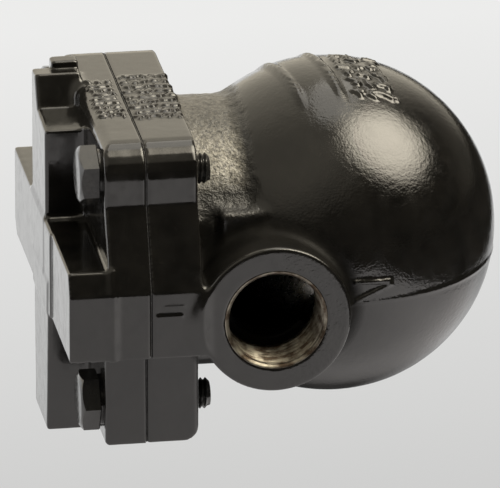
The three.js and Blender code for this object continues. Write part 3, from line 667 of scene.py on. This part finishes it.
def sand_cast(f, distance, smooth_planes, coarse, seed):
    """Roughens a casting: long ripples, grains, and nothing on the machined planes.

    smooth_planes is a list of (axis, place) and coarse(places) gives where the sand was rougher.
    """
    index, places = near_surface(f, distance, SKIN_BAND)
    rough, grains, fine = (
        height * value_noise(places, width, seed + step)
        for step, (height, width) in enumerate((RIPPLES, GRAINS, FINE_GRAINS))
    )
    rough += coarse(places) * (grains + fine)
    for axis, place in smooth_planes:
        rough *= smooth_step(np.abs(places[:, axis] - place), 0.2, 1.4)
    distance[index] += rough
    return distance


# --- Castings. ---

def body_outside(f):
    flange = plate(f, flange_outline(), BODY_FACE_X - 3, FLANGE_BACK_X)
    heel_x = f.x - FLANGE_BACK_X + HEEL_ROUND
    heel_z = FLANGE_Z - FLANGE_HALF + HEEL_ROUND - f.z
    flange = cut(flange, HEEL_ROUND - rounded(heel_x, heel_z))
    chamber = ball(f, BALL_X, 0, CHAMBER_Z, BALL_RADIUS)
    neck = rod(f.y, f.z - CHAMBER_Z, f.x, NECK_RADIUS, FLANGE_BACK_X - 4, BALL_X, NEAR_SHARP)
    ports = rod(f.x, f.z, f.y, PORT_RADIUS, -PORT_Y, PORT_Y, 0.9)
    shoulder = block(f, SHOULDER_X, (-SHOULDER_Y, SHOULDER_Y), (0, SHOULDER_TOP_Z), 2)
    outside = join(chamber, neck, 2)
    outside = join(outside, shoulder, 3)
    outside = join(outside, ports, 4)
    for side in (-1, 1):
        duct = rod(f.y - side * (DUCT_Y - 1.5), f.z, f.x, DUCT_BOSS_RADIUS, FLANGE_BACK_X - 3, 0)
        outside = join(outside, duct, 2)
    outside = join(outside, flange, 4)
    return np.maximum(outside, BODY_FACE_X - JOINT_LAP - f.x)


def body_marks(f, distance):
    """Raised marks: bars on the flange top, ear and ball, the straps, a wedge and the parting line."""
    index, p = near_surface(f, distance, SKIN_BAND)
    x, y, z = p.T
    height = np.zeros(len(p), dtype=np.float32)
    flange_x = (BODY_FACE_X + FLANGE_BACK_X) / 2
    on_top = (z > FLANGE_Z + FLANGE_HALF - 2) & (x < FLANGE_BACK_X + 1)
    rows = tally_rows(x - flange_x, y + 3, *BODY_TOP_MARKS)
    height = np.maximum(height, FLANGE_MARK_HEIGHT * rows * on_top)
    on_ear = (y < 2 - EAR_HALF) & (x < FLANGE_BACK_X + 1)
    lower, upper = EAR_MARK_HEIGHTS
    lower_x, upper_x = EAR_MARK_X
    height = np.maximum(height, lower * raised(bar(x, z, lower_x, 3.0, 8, 0.9, 0)) * on_ear)
    height = np.maximum(height, upper * raised(bar(x, z, upper_x, 6.1, 6.5, 0.8, 0)) * on_ear)
    on_ball = (z > CHAMBER_Z + 30) & (x > 2)
    slant = x - STRAP_X + BALL_SLANT * y
    band = (1 - smooth_step(np.abs(y), *STRAP_ENDS_Y)) * on_ball
    inside = 1 - smooth_step(np.abs(slant), STRAP_HALF_GAP, STRAP_HALF_GAP + 1.6)
    rails = 1 - smooth_step(np.abs(np.abs(slant) - STRAP_HALF_GAP), 0.5, 2.2)
    height = np.maximum(height, band * (STRAP_HEIGHT * inside + STRAP_RAIL_HEIGHT * rails))
    patch_v = x - PATCH_X + BALL_SLANT * y
    patch = tally_rows(y - PATCH_Y, patch_v, *BALL_MARKS)
    height = np.maximum(height, BALL_MARK_HEIGHT * patch * on_ball)
    on_front = (y < -40) & (x > 24)
    level_leg = bar(x, z, WEDGE_X, 8.3, 12, 1.0, -3)
    sloping_leg = bar(x, z, WEDGE_X + 0.5, 4.6, 12.5, 1.0, 23)
    wedge = np.minimum(level_leg, sloping_leg)
    height = np.maximum(height, WEDGE_HEIGHT * raised(wedge) * on_front)
    seam = 1 - smooth_step(np.abs(z - SEAM_Z), 0.3, 1.0)
    seam *= (np.abs(y) < PORT_Y - 3) * (x > FLANGE_BACK_X + 2)
    height = np.maximum(height, SEAM_HEIGHT * seam)
    distance[index] -= height
    return distance


def body_casting():
    f = Field(BODY_LOW, BODY_HIGH)
    solid = body_outside(f)
    solid = body_marks(f, solid)

    def rough_neck(p):
        near = smooth_step(p[:, 0], FLANGE_BACK_X - 0.5, FLANGE_BACK_X + 1.5)
        on_neck = near * (1 - smooth_step(p[:, 0], *NECK_END_X))
        return on_neck * smooth_step(p[:, 2], *NECK_ROUGH_Z) + 0.06

    machined = [(0, BODY_FACE_X), (1, -PORT_Y), (1, PORT_Y)]
    solid = sand_cast(f, solid, machined, rough_neck, 41)
    hollow = join(
        ball(f, BALL_X, 0, CHAMBER_Z, BALL_RADIUS - BALL_WALL),
        rod(f.y, f.z - CHAMBER_Z, f.x, NECK_RADIUS - NECK_WALL, BODY_FACE_X - 5, BALL_X, NEAR_SHARP), 3,
    )
    solid = cut(solid, hollow, 1)
    solid = join(solid, rod(f.x, f.z, f.y, PARTITION_RADIUS, PARTITION_START_Y, PORT_Y - 5), 2)
    for side in (-1, 1):
        low, high = sorted((side * BORE_END_Y, side * (PORT_Y + 3)))
        solid = cut(solid, rod(f.x, f.z, f.y, SLEEVE_RADIUS - 0.1, low, high, NEAR_SHARP))
    passage = rod(f.x, f.z, f.y, INLET_PASSAGE_RADIUS, *INLET_PASSAGE_Y, NEAR_SHARP)
    solid = cut(solid, passage, 1)
    solid = cut(solid, rod(f.y - DUCT_Y, f.z, f.x, DUCT_RADIUS, BODY_FACE_X - 3, 0, NEAR_SHARP))
    solid = bolt_holes(f, solid, BODY_HOLE_RADIUS, BODY_FACE_X - 3, FLANGE_BACK_X + 3)
    return mesh_of_field("body_casting", f, solid)


def cover_outside(f):
    flange = plate(f, flange_outline(), COVER_OUTER_X, COVER_FACE_X + 3)
    slope = (EAR_HALF - FLANGE_HALF) / (EAR_SLOPE_TOP - EAR_HALF_HEIGHT)
    near_top = EAR_HALF - slope * (CROSS_ARM_TOP - EAR_HALF_HEIGHT)
    corner = 4.5
    cross = [
        (-EAR_HALF, -EAR_HALF_HEIGHT), (EAR_HALF - corner, -EAR_HALF_HEIGHT),
        (EAR_HALF, corner - EAR_HALF_HEIGHT), (EAR_HALF, CROSS_ARM_TOP),
        (-near_top, CROSS_ARM_TOP), (-EAR_HALF, EAR_HALF_HEIGHT),
    ]
    near, far = UPPER_ARM_Y
    upper = [
        (near, 0), (far, 0), (far, UPPER_ARM_TOP_Z - 0.5), (far - 7.5, UPPER_ARM_TOP_Z),
        (near + 17.5, UPPER_ARM_LEDGE_Z + 0.8), (near, UPPER_ARM_LEDGE_Z - 0.5),
    ]
    near, far = LOWER_ARM_Y
    lower = [(near, LOWER_ARM_BOTTOM_Z), (far, LOWER_ARM_BOTTOM_Z), (far + 2, 0), (near - 5, 0)]
    root = COVER_OUTER_X + 2
    fall_x = COVER_OUTER_X + COVER_TOP_ROUND - f.x
    fall_z = f.z - FLANGE_Z - FLANGE_HALF + COVER_TOP_ROUND
    flange = cut(flange, COVER_TOP_ROUND - rounded(fall_x, fall_z))
    solid = join(flange, plate(f, upper, ARM_X + ARM_STEP, root, ARM_EDGE), 3)
    solid = join(solid, block(f, (UPPER_PAD_X, root), UPPER_PAD_Y, UPPER_PAD_Z, ARM_EDGE), 1)
    solid = join(solid, plate(f, lower, ARM_X, root, ARM_EDGE), 2)
    arm = plate(f, cross, ARM_X, root, ARM_EDGE)
    arm = cut(arm, block(f, (ARM_X - 3, ARM_X + ARM_STEP), (-70, HUB_NEAR_Y), (-30, 30), NEAR_SHARP))
    solid = join(solid, arm, 2)
    return np.maximum(solid, f.x - COVER_FACE_X - JOINT_LAP)


def cover_marks(f, distance):
    index, p = near_surface(f, distance, SKIN_BAND)
    x, y, z = p.T
    on_top = (np.abs(z - FLANGE_Z - FLANGE_HALF) < 1.2) & (x > COVER_OUTER_X + 1.5)
    middle = (COVER_OUTER_X + COVER_FACE_X) / 2
    rows = tally_rows(x - middle - 1.4, y + 2, *COVER_TOP_MARKS)
    distance[index] -= FLANGE_MARK_HEIGHT * rows * on_top
    return distance


def cover_casting():
    f = Field(COVER_LOW, COVER_HIGH)
    solid = cover_marks(f, cover_outside(f))
    solid = sand_cast(f, solid, [(0, COVER_FACE_X)], lambda p: 0.08, 51)
    open_x = COVER_FACE_X + 3
    solid = cut(solid, rod(f.y - DUCT_Y, f.z, f.x, DUCT_RADIUS, DUCT_X, open_x))
    solid = cut(solid, rod(f.x - DUCT_X, f.z - SEAT_Z, f.y, DUCT_RADIUS, -2, DUCT_Y))
    solid = cut(solid, rod(f.y, f.z - SEAT_Z, f.x, SEAT_BORE_RADIUS, DUCT_X, open_x, NEAR_SHARP))
    solid = cut(solid, rod(f.x - DUCT_X, f.y - VENT_Y, f.z, VENT_DUCT_RADIUS, SEAT_Z, VENT_Z))
    solid = cut(solid, rod(f.y - VENT_Y, f.z - VENT_Z, f.x, VENT_BORE_RADIUS, DUCT_X, open_x, NEAR_SHARP))
    solid = bolt_holes(f, solid, COVER_HOLE_RADIUS, COVER_OUTER_X - 3, COVER_FACE_X + 3)
    return mesh_of_field("cover_casting", f, solid)


# --- Threaded port linings. ---

def port_lining(name, side):
    """The chamfered mouth and helical pipe thread of one port, as a thin sleeve in the casting."""
    end = PORT_Y - BORE_END_Y - 0.2
    chamfer = SLEEVE_RADIUS - BORE_RADIUS - THREAD_DEPTH * 0.2
    thread = np.arange(chamfer, end, THREAD_PITCH / 12)
    lip = SLEEVE_RADIUS - 0.42
    profile = [(0.0, SLEEVE_RADIUS), (0.0, SLEEVE_RADIUS - 0.25), (0.12, lip)]
    profile += [(chamfer * 0.5, lip - chamfer * 0.5)]
    profile += [(t, BORE_RADIUS) for t in thread]
    profile += [(end, BORE_RADIUS), (end, SLEEVE_RADIUS)]

    def wave(along, radius, angle):
        groove = triangle_wave(along / THREAD_PITCH + angle / (2 * math.pi))
        fade = smooth_step(along, chamfer * 0.8, chamfer * 1.3)
        fade *= 1 - smooth_step(along, end - 2.5, end - 0.5)
        inner = np.abs(radius - BORE_RADIUS) < 1e-6
        return along, radius + inner * fade * THREAD_DEPTH * np.clip(groove * 1.15 - 0.08, 0, 1)

    place = along_axis((0, -side, 0), (0, side * PORT_Y, 0))
    obj = revolve(name, profile, place, sides=144, wave=wave)
    sharpen(obj, 50)
    return obj


# --- Bolts. ---

def cover_bolt(name, y, z, turn):
    """A hexagon bolt: chamfered head with a washer face, and a threaded end behind the body flange."""
    collar = BOLT_COLLAR_HEIGHT
    top = BOLT_HEAD_HEIGHT + collar
    half = BOLT_FLATS / 2
    face = half * 0.92
    under = COVER_OUTER_X - 0.05
    length = under - box_mm(name)[1][0]
    hex_side = 1000.0  # Points with a radius this large take the hexagon's outline.
    profile = [(top, 0.0), (top - 0.05, half * 0.86), (top - 0.15, face)]
    profile += [(top - 0.15, hex_side), (collar + 0.35, hex_side), (collar, hex_side + 1)]
    profile += [(collar, BOLT_COLLAR_RADIUS), (0.0, BOLT_COLLAR_RADIUS), (0.0, BOLT_RADIUS)]
    thread = np.arange(BOLT_THREAD_START, -length - BOLT_END_TAPER, BOLT_PITCH / 8)
    profile += [(-t, BOLT_RADIUS) for t in thread]
    profile += [(length + BOLT_END_TAPER, BOLT_RADIUS - 0.1)]
    profile += [(length, BOLT_RADIUS - 1.1), (length, 0.0)]

    def wave(along, radius, angle):
        sector = math.pi / 3
        edge = half / np.cos((angle + turn) % sector - sector / 2)
        side = radius >= hex_side
        chamfer = (edge - face) * math.tan(math.radians(30))
        lowered = np.where(side & (along > BOLT_HEAD_HEIGHT / 2 + collar), chamfer, 0)
        shrunk = np.where(radius > hex_side, 0.35, 0)
        radius = np.where(side, edge - shrunk, radius)
        threaded = (along < 0.1 - BOLT_THREAD_START) & (radius > BOLT_RADIUS - 0.2)
        crest = triangle_wave(along / BOLT_PITCH + angle / (2 * math.pi))
        radius = np.where(threaded, BOLT_RADIUS - BOLT_THREAD_DEPTH * (1 - crest), radius)
        return along - lowered, radius

    obj = revolve(name + "_steel", profile, along_axis((-1, 0, 0), (under, y, z)), sides=120, wave=wave)
    sharpen(obj, 28)
    return obj


# --- Gasket. ---

def gasket_sheet():
    """The cover gasket: the flange outline in thin sheet, cut for the chamber, duct and bolts."""
    low, high = box_mm("cover_gasket")
    f = Field(low, high, margin=2.0)
    before, behind = low[0] - 5, high[0] + 5
    outline = outline_distance(flange_outline(GASKET_INSET), f.y, f.z)
    solid = rounded(outline, span(f.x, low[0], high[0]))
    mouth = rod(f.y, f.z - CHAMBER_Z, f.x, NECK_RADIUS - NECK_WALL, before, behind, NEAR_SHARP)
    solid = cut(solid, mouth)
    solid = cut(solid, rod(f.y - DUCT_Y, f.z, f.x, DUCT_RADIUS, before, behind, NEAR_SHARP))
    solid = bolt_holes(f, solid, COVER_HOLE_RADIUS, before, behind)
    return mesh_of_field("gasket_sheet", f, solid)


# --- Float. ---

def float_shell(name, node, far):
    """One pressed half of the float, with half of the weld bead at its rim."""
    low, high = box_mm(node)
    radius = (high[1] - low[1]) / 2
    centre_x = low[0] - FLOAT_LAP if far else high[0] + FLOAT_LAP
    rim, inside = WELD_START, radius - FLOAT_WALL
    side = 1 if far else -1
    quarter = np.linspace(0.02, math.pi / 2, 40)
    outer = [(rim + (radius - rim) * math.sin(a), radius * math.cos(a)) for a in quarter]
    inner = [(inside * math.sin(a), inside * math.cos(a)) for a in quarter[::-1]]
    bead = [(rim, radius - 0.4), (rim, radius + 0.25)]
    bead += [(rim + 0.55, radius + 0.3), (rim + 0.9, radius + 0.02)]
    if not far:
        stub, hole = STUB_RADIUS, STUB_HOLE_RADIUS
        tip, hole_end = centre_x - low[0], radius - FLOAT_WALL * 0.5
        outer = [p for p in outer if p[1] > stub + 0.6]
        outer += [(radius - 0.2, stub + 0.5), (radius + 0.6, stub)]
        outer += [(tip - 0.4, stub), (tip, stub - 0.4)]
        outer += [(tip, hole), (hole_end, hole), (hole_end, 0.0)]
    profile = bead + outer + inner + [(rim, inside)]

    def wave(along, radius_now, angle):
        on_bead = (along < 1.2) & (radius_now > radius)
        return along, radius_now + 0.06 * np.sin(angle * WELD_RIPPLES) * on_bead

    place = along_axis((side, 0, 0), (centre_x, (low[1] + high[1]) / 2, (low[2] + high[2]) / 2))
    obj = revolve(name, profile, place, sides=160, wave=wave)
    sharpen(obj, 45)
    return obj


# --- Studio, in metres. ---

FLOOR_REACH = 14.0
FLOOR_DROP = 0.25
TABLE_LIFT = 0.005
TABLE_RIGHT_X = 0.45
TABLE_FRONT_Y = -1.0
KEY_DIRECTION = (0.557, -0.094, 0.825)
CEILING_DIRECTION = (-0.42, -0.20, 0.88)
WARM_WHITE = (1.0, 0.915, 0.745, 1)


def flat_sheet(name, x, y, z):
    """A level rectangle between two X and two Y values, in metres."""
    mesh = bpy.data.meshes.new(name)
    corners = [(x[0], y[0], z), (x[1], y[0], z), (x[1], y[1], z), (x[0], y[1], z)]
    mesh.from_pydata(corners, [], [(0, 1, 2, 3)])
    obj = bpy.data.objects.new(name, mesh)
    bpy.context.scene.collection.objects.link(obj)
    return obj


def floor_level(n, across, back):
    """How bright the glowing floor is: paler towards the back, and a painted pool of light at the left.
    """
    level = n.plus(n.ramp(back, 0.62, 0.84, (0.40, 0.90)), n.ramp(back, 0, 0.3, (0.95, 1.5)))
    # A painted pool of light on the floor at the left, for the cover's left faces to reflect.
    left = n.ramp(across, 0.0, 0.42, (-0.02, -0.22))
    return n.plus(level, n.times(left, n.ramp(back, 0.0, 1.0, (0.1, 0.4))))


def table_level(n, across, back):
    """How bright the glowing table sheet is in the reflections: painted light in front and at the right,
    and a painted shadow of the ball just behind it.
    """
    # Painted light in front of the trap, on top of the floor's own brightness.
    level = n.plus(floor_level(n, across, back), n.ramp(back, 0.33, 0.0, (-0.15, 0.30)))
    # Painted light at the right of the table.
    right = n.ramp(across, 0.0, 0.45, (0.04, 0.28))
    level = n.plus(level, n.times(right, n.ramp(back, 1.0, 0.0, (0.26, 0.38))))
    # A painted shadow: a dark pool on the table under and just behind the ball.
    under = n.times(n.ramp(across, 1.0, 0.0, (0.09, 0.22)), n.ramp(across, 0.0, 1.0, (-0.10, -0.02)))
    under = n.times(under, n.ramp(back, 0.0, 1.0, (0.0, 0.16)))
    under = n.times(under, n.ramp(back, 1.0, 0.0, (0.36, 0.42)))
    return n.times(level, n.ramp(under, 1.0, 0.06, (0.0, 1.0)))


def glowing_sheet(name, height, level, front_tint):
    """A wide level sheet whose brightness comes from level, going to a tint towards the front."""
    reach = (-FLOOR_REACH, FLOOR_REACH)
    sheet = flat_sheet(name, reach, reach, height)
    n = Nodes(name + "_glow")
    parts = n.add("ShaderNodeSeparateXYZ")
    n.link(n.place, parts.inputs[0])
    across, back = parts.outputs["X"], parts.outputs["Y"]
    n.tree.nodes.remove(n.shader)
    light = n.add("ShaderNodeEmission")
    n.link(level(n, across, back), light.inputs["Strength"])
    in_front = n.ramp(back, 1.0, 0.0, (0.10, 0.35))
    n.link(n.mix(in_front, (1.0, 1.0, 0.99), front_tint), light.inputs["Color"])
    n.link(light.outputs[0], n.tree.nodes["Material Output"].inputs["Surface"])
    sheet.data.materials.append(n.material)
    return sheet


def studio_floor():
    """A pale plain glowing floor, and just over it a glowing table sheet with painted light and a painted
    shadow, which only the reflections see.
    """
    glowing_sheet("floor", -FLOOR_DROP, floor_level, (1.0, 0.995, 0.985))
    table = glowing_sheet("table", TABLE_LIFT - FLOOR_DROP, table_level, (1.0, 0.955, 0.93))
    table.visible_camera = False
    table.visible_shadow = False


def studio_shade_flags():
    """Painted shade: black sheets around the glowing table, which only the reflections see, standing in
    for the dark room at the right and in front.
    """
    n = Nodes("painted_shade_flag")
    shade = n.mix(n.noise(200, detail=2, seed=61), (0.004, 0.004, 0.004), (0.007, 0.0065, 0.006))
    n.link(shade, n.shader.inputs["Base Color"])
    n.shader.inputs["Roughness"].default_value = 0.9
    n.shader.inputs["Specular IOR Level"].default_value = 0.0
    height = 2 * TABLE_LIFT - FLOOR_DROP
    reach = (-FLOOR_REACH, FLOOR_REACH)
    # Painted shade at the right of the table and in front of it.
    right = flat_sheet("shade_flag_right", (TABLE_RIGHT_X, FLOOR_REACH), reach, height)
    front = flat_sheet("shade_flag_front", (-FLOOR_REACH, TABLE_RIGHT_X), (-FLOOR_REACH, TABLE_FRONT_Y), height)
    for flag in (right, front):
        flag.data.materials.append(n.material)
        flag.visible_camera = False
        flag.visible_shadow = False


def studio_world():
    """Bright behind and at the left, dark in front and at the right, with two soft glows above."""
    world = bpy.data.worlds.new("studio")
    bpy.context.scene.world = world
    world.use_nodes = True
    tree = world.node_tree
    place = tree.nodes.new("ShaderNodeTexCoord")
    parts = tree.nodes.new("ShaderNodeSeparateXYZ")
    tree.links.new(place.outputs["Generated"], parts.inputs[0])

    def shade(value, start, end, low, high):
        node = tree.nodes.new("ShaderNodeMapRange")
        node.interpolation_type = "SMOOTHSTEP"
        node.inputs["From Min"].default_value = start
        node.inputs["From Max"].default_value = end
        node.inputs["To Min"].default_value = low
        node.inputs["To Max"].default_value = high
        tree.links.new(value, node.inputs["Value"])
        return node.outputs["Result"]

    def fade(axis, start, end, low, high):
        return shade(parts.outputs[axis], start, end, low, high)

    def combine(operation, first, second):
        node = tree.nodes.new("ShaderNodeMath")
        node.operation = operation
        tree.links.new(first, node.inputs[0])
        tree.links.new(second, node.inputs[1])
        return node.outputs[0]

    def glow(direction, outer, inner, strength):
        """A soft-edged patch of light, from the angle where it starts to the angle where it is full."""
        toward = tree.nodes.new("ShaderNodeVectorMath")
        toward.operation = "DOT_PRODUCT"
        toward.inputs[1].default_value = Vector(direction).normalized()
        tree.links.new(place.outputs["Generated"], toward.inputs[0])
        start, end = math.cos(math.radians(outer)), math.cos(math.radians(inner))
        return shade(toward.outputs["Value"], start, end, 0.0, strength)

    level = combine("MULTIPLY", fade("Y", 0.05, 0.85, 0.025, 1.25), fade("X", 0.3, 0.75, 1.0, 0.12))
    level = combine("ADD", level, glow(KEY_DIRECTION, 32, 0, 10.5))
    level = combine("ADD", level, glow(CEILING_DIRECTION, 58, 15, 0.55))
    tree.links.new(level, tree.nodes["Background"].inputs["Strength"])
    tree.nodes["Background"].inputs["Color"].default_value = WARM_WHITE


def softbox(name, direction, distance, size, radiance, color):
    """An area light that faces the trap, set by how bright it looks."""
    light = bpy.data.lights.new(name, "AREA")
    light.shape = "ELLIPSE"
    light.size, light.size_y = size
    light.energy = radiance * math.pi * size[0] * size[1]
    light.color = color
    obj = bpy.data.objects.new(name, light)
    toward = Vector(direction).normalized()
    obj.location = toward * distance
    obj.rotation_euler = toward.to_track_quat("Z", "Y").to_euler()
    bpy.context.scene.collection.objects.link(obj)


def studio_lights():
    """A long overhead strip behind the trap and a large box at its left."""
    softbox("top_softbox", (0.15, 0.39, 0.92), 1.1, (0.40, 0.90), 1.4, (1.0, 0.96, 0.88))
    softbox("left_softbox", (-1.0, 0.15, 0.25), 1.3, (0.9, 0.9), 1.2, (1.0, 0.98, 0.95))


def camera():
    """A long lens at a slight angle to the pipe axis, looking a little down on the trap."""
    azimuth, elevation, distance = math.radians(-9), math.radians(20.8), 4.0
    pixels_per_mm, image_width, sensor = 3.135, 500, 36.0
    aim = Vector((1.2, 0.0, 2.9)) * MM
    back = Vector((
        math.sin(azimuth) * math.cos(elevation),
        -math.cos(azimuth) * math.cos(elevation),
        math.sin(elevation),
    ))
    data = bpy.data.cameras.new("camera")
    data.sensor_width = sensor
    data.lens = pixels_per_mm * distance / MM * sensor / image_width
    obj = bpy.data.objects.new("camera", data)
    obj.location = aim + back * distance
    obj.rotation_euler = back.to_track_quat("Z", "Y").to_euler()
    bpy.context.scene.collection.objects.link(obj)
    bpy.context.scene.camera = obj


# --- Putting it together. ---

PAINT = cast_paint()
TURNED = machined_iron()
BOLT = bolt_paint()
STEEL = stainless()
CARBON = graphite()

camera()
studio_floor()
studio_shade_flags()
studio_world()
studio_lights()
bpy.context.scene.view_settings.view_transform = "Standard"

wears(body_casting(), PAINT, "painted_iron", "casing", "body")
wears(port_lining("inlet_thread", -1), TURNED, "painted_iron", "casing", "body")
wears(port_lining("outlet_thread", 1), TURNED, "painted_iron", "casing", "body")
wears(cover_casting(), PAINT, "painted_iron", "casing", "cover")
wears(gasket_sheet(), CARBON, "graphite", "casing", "cover_gasket")
for number, (bolt_y, bolt_z) in enumerate(bolt_places(), 1):
    bolt = f"cover_bolt_{number}"
    turned_by = math.radians(BOLT_TURNS[number - 1])
    wears(cover_bolt(bolt, bolt_y, bolt_z, turned_by), BOLT, "bolt_steel", "casing", bolt)
for side in ("near", "far"):
    half = "float_far_half" if side == "far" else "float_arm_half"
    shell = float_shell(f"float_{side}_shell", half, side == "far")
    wears(shell, STEEL, "stainless", "float_lever", half)

# The nodes that no piece stands in for keep their own meshes.
for name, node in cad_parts.items():
    if node.hide_render:
        continue
    node.data.materials.clear()
    node.data.materials.append(CARBON if "gasket" in name else STEEL)
    bevel = node.modifiers.new("edge", "BEVEL")
    bevel.width = INNER_EDGE * MM
    bevel.segments = 2
